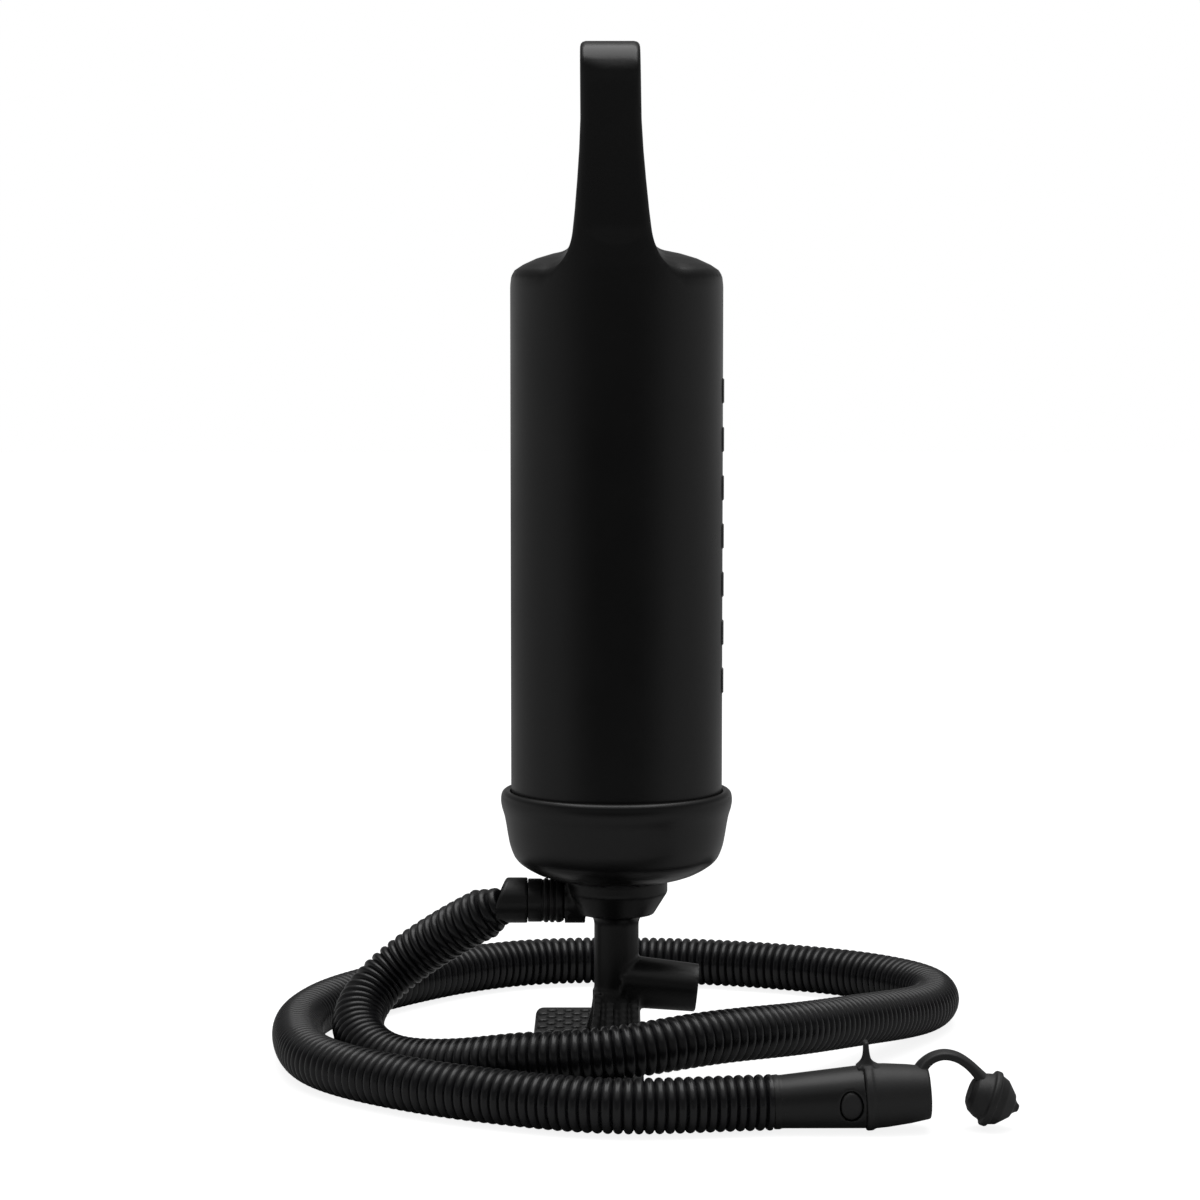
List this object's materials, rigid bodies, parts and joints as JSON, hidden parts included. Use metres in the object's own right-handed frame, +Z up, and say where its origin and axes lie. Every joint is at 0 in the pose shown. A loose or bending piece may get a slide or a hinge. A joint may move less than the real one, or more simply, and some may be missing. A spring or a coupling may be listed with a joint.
{
  "type": "double action hand pump",
  "caption": "Floor-standing double action air pump: a barrel with a loop handle slides over a piston on a foot, with a hose, a nozzle and its plug.",
  "frame": {"origin": "on the floor, under the axis of the rod and the barrel", "axes": "+Z up along the rod; +X towards the lower spigot; the foot's pedals and the handle's loop lie along Y"},
  "size_m": [0.3481, 0.3688, 0.4885],
  "materials": {
    "moulded_black": "satin moulded",
    "hose_black": "semi-gloss ribbed",
    "soft_grey": "matte soft vinyl",
    "rod_grey": "smooth",
    "piston_white": "moulded",
    "seal_rubber": "matte",
    "screw_steel": "plated"
  },
  "bodies": {
    "base": {"foot_stand": "moulded_black", "rod_ring_nut": "moulded_black", "rod_outer_tube": "rod_grey", "rod_inner_tube": "rod_grey", "intake_ring_lower": "seal_rubber", "intake_ring_upper": "seal_rubber", "piston_body": "piston_white", "piston_cover": "piston_white", "piston_seal_lower": "seal_rubber", "piston_seal_upper": "seal_rubber", "piston_screw_1": "screw_steel", "piston_screw_2": "screw_steel", "piston_screw_3": "screw_steel", "piston_screw_4": "screw_steel", "hose_cuff": "moulded_black", "hose": "hose_black", "nozzle_cuff": "hose_black", "nozzle_adaptor": "soft_grey"},
    "gland": {"rod_bush": "piston_white", "rod_seal": "seal_rubber"},
    "barrel": {"barrel": "moulded_black", "end_cap": "moulded_black", "barrel_gasket": "seal_rubber"},
    "hose_nut": {"hose_nut": "moulded_black"},
    "intake_valve_upper": {"intake_valve_upper": "seal_rubber"},
    "intake_valve_lower": {"intake_valve_lower": "seal_rubber"},
    "outlet_valve_upper": {"outlet_valve_upper": "seal_rubber"},
    "outlet_valve_lower": {"outlet_valve_lower": "seal_rubber"},
    "plug": {"plug_strap": "soft_grey", "nozzle_plug": "soft_grey"}
  },
  "joints": [
    {"name": "barrel_slide", "type": "slide", "parent": "base", "child": "gland", "axis": [0, 0, 1], "range_m": [0, 0.225]},
    {"name": "barrel_turn", "type": "hinge", "parent": "gland", "child": "barrel", "pos_m": [0, 0, 0.1], "axis": [0, 0, 1], "continuous": true},
    {"name": "hose_nut_turn", "type": "hinge", "parent": "base", "child": "hose_nut", "pos_m": [-0.034, 0, 0.082], "axis": [-1, 0, 0], "range_deg": [0, 60]},
    {"name": "intake_valve_upper_lift", "type": "slide", "parent": "base", "child": "intake_valve_upper", "axis": [0, 0, 1], "range_m": [0, 0.0012], "stiffness_N_per_m": 40},
    {"name": "outlet_valve_upper_lift", "type": "slide", "parent": "base", "child": "outlet_valve_upper", "axis": [0, 0, -1], "range_m": [0, 0.0012], "stiffness_N_per_m": 40},
    {"name": "intake_valve_lower_lift", "type": "slide", "parent": "base", "child": "intake_valve_lower", "axis": [0, 0, -1], "range_m": [0, 0.0012], "stiffness_N_per_m": 40},
    {"name": "outlet_valve_lower_lift", "type": "slide", "parent": "base", "child": "outlet_valve_lower", "axis": [0, 0, 1], "range_m": [0, 0.0012], "stiffness_N_per_m": 40},
    {"name": "plug_swing", "type": "hinge", "parent": "base", "child": "plug", "pos_m": [0.1375, -0.1225, 0.03], "axis": [0, 0, 1], "range_deg": [-35, 35]}
  ]
}
